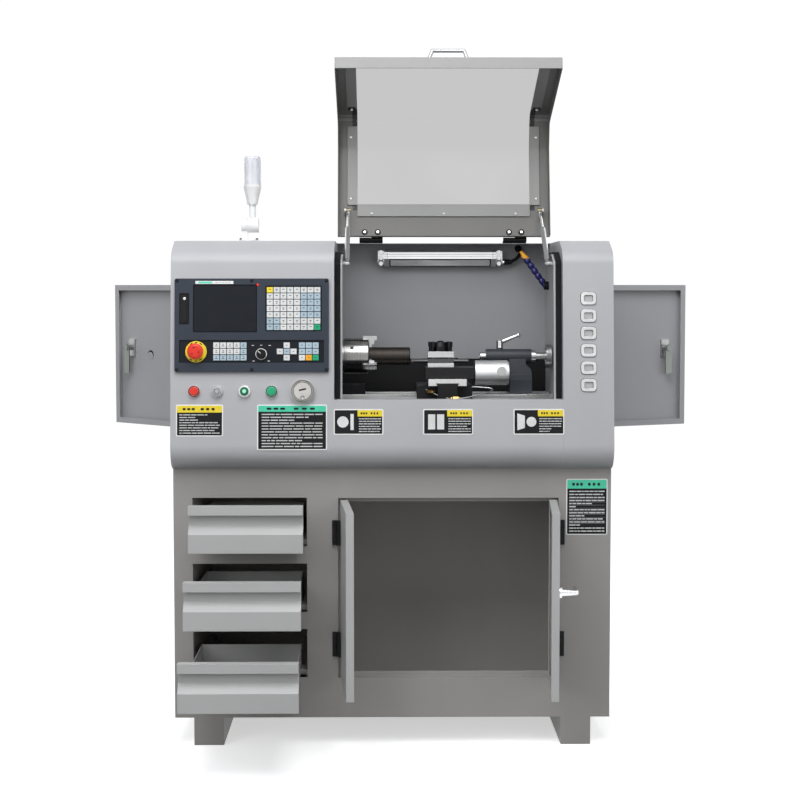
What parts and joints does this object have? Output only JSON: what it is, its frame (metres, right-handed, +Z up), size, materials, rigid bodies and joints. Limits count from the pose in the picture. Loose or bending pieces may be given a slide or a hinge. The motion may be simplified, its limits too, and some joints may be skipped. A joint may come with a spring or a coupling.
{
  "type": "benchtop cnc lathe on cabinet stand",
  "caption": "Enclosed bench lathe on a grey sheet cabinet, hood raised on gas struts, drawers pulled out, cupboard and end doors open",
  "frame": {"origin": "on the floor, midway between the four levelling holes under the foot rails", "axes": "X to the right along the spindle, Y to the back, Z up"},
  "size_m": [1.6869, 1.0098, 1.859],
  "materials": {
    "housing_paint": "satin light grey powder coat",
    "stand_paint": "satin grey powder coat",
    "bay_paint": "satin blue-grey paint",
    "black_paint": "satin black machine enamel",
    "tail_paint": "dark blue-grey machine enamel",
    "seal_rubber": "matt black rubber",
    "hinge_black": "black coated zinc",
    "panel_film": "textured dark blue-grey film",
    "key_film": "domed grey key film",
    "bright_steel": "turned and ground steel",
    "chrome_trim": "polished",
    "zinc": "zinc plated",
    "dark_steel": "blackened steel",
    "brown_bar": "oiled rolled bar",
    "window_pane": "clear grey sheet",
    "white_plastic": "gloss white",
    "red_plastic": "gloss red",
    "green_plastic": "gloss green",
    "lit_plastic": "translucent green",
    "black_plastic": "matt black",
    "blue_plastic": "gloss blue",
    "cast_alu": "satin"
  },
  "bodies": {
    "machine": {"cabinet": "stand_paint", "hinge_blocks": "hinge_black", "left_housing": "housing_paint", "right_housing": "housing_paint", "front_apron": "housing_paint", "rear_panel": "bay_paint", "bay_seals": "seal_rubber", "panel_plate": "panel_film", "panel_keys": "key_film", "button_bezels": "chrome_trim", "tower_foot": "white_plastic", "lathe_bed": "black_paint", "headstock": "black_paint", "spindle_motor": "dark_steel", "drive_belt": "seal_rubber", "lamp": "cast_alu", "lamp_cable": "black_plastic", "coolant_hose": "blue_plastic"},
    "hood": {"hood_frame": "housing_paint", "hood_window": "window_pane", "hood_handle": "chrome_trim"},
    "left_strut": {"left_strut_tube": "dark_steel"},
    "left_rod": {"left_strut_rod": "bright_steel"},
    "right_strut": {"right_strut_tube": "dark_steel"},
    "right_rod": {"right_strut_rod": "bright_steel"},
    "left_end": {"left_end_door": "housing_paint"},
    "left_cam": {"left_latch": "zinc"},
    "right_end": {"right_end_door": "housing_paint"},
    "right_cam": {"right_latch": "zinc"},
    "top_drawer": {"drawer_top": "stand_paint"},
    "middle_drawer": {"drawer_middle": "stand_paint"},
    "bottom_drawer": {"drawer_bottom": "stand_paint"},
    "left_door": {"left_cabinet_door": "stand_paint"},
    "right_door": {"right_cabinet_door": "stand_paint"},
    "lever": {"door_lever": "chrome_trim"},
    "spindle_line": {"spindle": "bright_steel", "chuck_body": "bright_steel", "bar_stock": "brown_bar"},
    "first_jaw": {"jaw_1": "bright_steel"},
    "second_jaw": {"jaw_2": "bright_steel"},
    "third_jaw": {"jaw_3": "bright_steel"},
    "motor_wheel": {"motor_pulley": "cast_alu"},
    "feed_screw": {"z_screw": "bright_steel"},
    "carriage": {"saddle": "black_paint"},
    "slide": {"cross_slide": "bright_steel", "turret_base": "black_paint"},
    "turret": {"tool_head": "dark_steel"},
    "tailstock": {"tailstock_body": "tail_paint"},
    "tail_quill": {"quill": "bright_steel"},
    "tail_wheel": {"handwheel": "bright_steel"},
    "tail_lever": {"lock_lever": "zinc"},
    "estop": {"estop_head": "red_plastic"},
    "selector": {"selector_knob": "black_plastic"},
    "stop_cap": {"stop_button": "red_plastic"},
    "white_cap": {"white_button": "white_plastic"},
    "lit_cap": {"lit_button": "lit_plastic"},
    "green_cap": {"green_button": "green_plastic"},
    "dial": {"pulse_dial": "cast_alu"},
    "tower": {"tower_arm": "white_plastic", "tower_lens": "white_plastic"}
  },
  "joints": [
    {"name": "hood_hinge", "type": "hinge", "parent": "machine", "child": "hood", "pos_m": [0.148, 0.09, 1.364], "axis": [1, 0, 0], "range_deg": [0, 102]},
    {"name": "left_strut_swing", "type": "hinge", "parent": "machine", "child": "left_strut", "pos_m": [-0.122, -0.19, 1.292], "axis": [1, 0, 0], "range_deg": [-26, 1]},
    {"name": "left_rod_slide", "type": "slide", "parent": "left_strut", "child": "left_rod", "axis": [0, 0.8532, 0.5216], "range_m": [-0.095, 0.002]},
    {"name": "right_strut_swing", "type": "hinge", "parent": "machine", "child": "right_strut", "pos_m": [0.418, -0.19, 1.292], "axis": [1, 0, 0], "range_deg": [-26, 1]},
    {"name": "right_rod_slide", "type": "slide", "parent": "right_strut", "child": "right_rod", "axis": [0, 0.8532, 0.5216], "range_m": [-0.095, 0.002]},
    {"name": "left_end_hinge", "type": "hinge", "parent": "machine", "child": "left_end", "pos_m": [-0.59, 0.15, 1.03], "axis": [0, 0, 1], "range_deg": [-12, 133]},
    {"name": "right_end_hinge", "type": "hinge", "parent": "machine", "child": "right_end", "pos_m": [0.59, 0.15, 1.03], "axis": [0, 0, 1], "range_deg": [-115, 27]},
    {"name": "left_latch_turn", "type": "hinge", "parent": "left_end", "child": "left_cam", "pos_m": [-0.7623, 0.30247, 1.0515], "axis": [0.682, 0.7314, 0], "range_deg": [0, 90]},
    {"name": "right_latch_turn", "type": "hinge", "parent": "right_end", "child": "right_cam", "pos_m": [0.80099, 0.24176, 1.0515], "axis": [0.4226, -0.9063, 0], "range_deg": [0, 90]},
    {"name": "top_drawer_slide", "type": "slide", "parent": "machine", "child": "top_drawer", "axis": [0, -1, 0], "range_m": [-0.15, 0.27]},
    {"name": "middle_drawer_slide", "type": "slide", "parent": "machine", "child": "middle_drawer", "axis": [0, -1, 0], "range_m": [-0.28, 0.14]},
    {"name": "bottom_drawer_slide", "type": "slide", "parent": "machine", "child": "bottom_drawer", "axis": [0, -1, 0], "range_m": [-0.415, 0.005]},
    {"name": "left_door_hinge", "type": "hinge", "parent": "machine", "child": "left_door", "pos_m": [-0.145, -0.256, 0.425], "axis": [0, 0, 1], "range_deg": [-14, 86]},
    {"name": "right_door_hinge", "type": "hinge", "parent": "machine", "child": "right_door", "pos_m": [0.444, -0.256, 0.425], "axis": [0, 0, 1], "range_deg": [-86, 14]},
    {"name": "lever_turn", "type": "hinge", "parent": "right_door", "child": "lever", "pos_m": [0.41998, -0.51345, 0.459], "axis": [-0.9976, 0.0698, 0], "range_deg": [0, 90]},
    {"name": "spindle_turn", "type": "hinge", "parent": "machine", "child": "spindle_line", "pos_m": [-0.24, 0, 1.037], "axis": [1, 0, 0], "continuous": true},
    {"name": "motor_turn", "type": "hinge", "parent": "machine", "child": "motor_wheel", "pos_m": [-0.387, 0.14, 0.878], "axis": [1, 0, 0], "continuous": true},
    {"name": "first_jaw_slide", "type": "slide", "parent": "spindle_line", "child": "first_jaw", "axis": [0, 0, 1], "range_m": [0, 0.01]},
    {"name": "second_jaw_slide", "type": "slide", "parent": "spindle_line", "child": "second_jaw", "axis": [0, -0.866, -0.5], "range_m": [0, 0.01]},
    {"name": "third_jaw_slide", "type": "slide", "parent": "spindle_line", "child": "third_jaw", "axis": [0, 0.866, -0.5], "range_m": [0, 0.01]},
    {"name": "feed_screw_turn", "type": "hinge", "parent": "machine", "child": "feed_screw", "pos_m": [0.148, -0.092, 0.894], "axis": [1, 0, 0], "range_deg": [-378, 6858]},
    {"name": "carriage_slide", "type": "slide", "parent": "machine", "child": "carriage", "axis": [-1, 0, 0], "range_m": [-0.005, 0.095]},
    {"name": "cross_feed", "type": "slide", "parent": "carriage", "child": "slide", "axis": [0, -1, 0], "range_m": [-0.035, 0.06]},
    {"name": "turret_turn", "type": "hinge", "parent": "slide", "child": "turret", "pos_m": [0.1335, -0.076, 1.04], "axis": [0, 0, 1], "continuous": true},
    {"name": "tailstock_slide", "type": "slide", "parent": "machine", "child": "tailstock", "axis": [-1, 0, 0], "range_m": [0, 0.09]},
    {"name": "tail_wheel_turn", "type": "hinge", "parent": "tailstock", "child": "tail_wheel", "pos_m": [0.438, 0, 1.037], "axis": [1, 0, 0], "range_deg": [-18, 9018]},
    {"name": "quill_slide", "type": "slide", "parent": "tailstock", "child": "tail_quill", "axis": [-1, 0, 0], "range_m": [0, 0.05]},
    {"name": "tail_lever_turn", "type": "hinge", "parent": "tailstock", "child": "tail_lever", "pos_m": [0.302, 0, 1.066], "axis": [0, 0, 1], "range_deg": [0, 90]},
    {"name": "estop_push", "type": "slide", "parent": "machine", "child": "estop", "axis": [0, 0.9951, -0.0993], "range_m": [0, 0.005], "stiffness_N_per_m": 400},
    {"name": "selector_turn", "type": "hinge", "parent": "machine", "child": "selector", "pos_m": [-0.345, -0.29946, 1.05457], "axis": [0, -0.9951, 0.0993], "range_deg": [-60, 60]},
    {"name": "stop_push", "type": "slide", "parent": "machine", "child": "stop_cap", "axis": [0, 0.9951, -0.0993], "range_m": [0, 0.003], "stiffness_N_per_m": 300},
    {"name": "white_push", "type": "slide", "parent": "machine", "child": "white_cap", "axis": [0, 0.9951, -0.0993], "range_m": [0, 0.003], "stiffness_N_per_m": 300},
    {"name": "lit_push", "type": "slide", "parent": "machine", "child": "lit_cap", "axis": [0, 0.9951, -0.0993], "range_m": [0, 0.003], "stiffness_N_per_m": 300},
    {"name": "green_push", "type": "slide", "parent": "machine", "child": "green_cap", "axis": [0, 0.9951, -0.0993], "range_m": [0, 0.003], "stiffness_N_per_m": 300},
    {"name": "dial_turn", "type": "hinge", "parent": "machine", "child": "dial", "pos_m": [-0.236, -0.30918, 0.95719], "axis": [0, -0.9951, 0.0993], "continuous": true},
    {"name": "tower_fold", "type": "hinge", "parent": "machine", "child": "tower", "pos_m": [-0.397, 0, 1.402], "axis": [-1, 0, 0], "range_deg": [0, 90]}
  ],
  "couplings": [
    {"joint": "left_strut_swing", "follows": "hood_hinge", "ratio": -0.23808},
    {"joint": "left_rod_slide", "follows": "hood_hinge", "m_per_rad": -0.04753},
    {"joint": "right_strut_swing", "follows": "hood_hinge", "ratio": -0.23808},
    {"joint": "right_rod_slide", "follows": "hood_hinge", "m_per_rad": -0.04753},
    {"joint": "motor_turn", "follows": "spindle_turn", "ratio": 1.5},
    {"joint": "second_jaw_slide", "follows": "first_jaw_slide", "ratio": 1},
    {"joint": "third_jaw_slide", "follows": "first_jaw_slide", "ratio": 1},
    {"joint": "feed_screw_turn", "follows": "carriage_slide", "rad_per_m": 1256.6},
    {"joint": "tail_wheel_turn", "follows": "quill_slide", "rad_per_m": 3141.6}
  ]
}
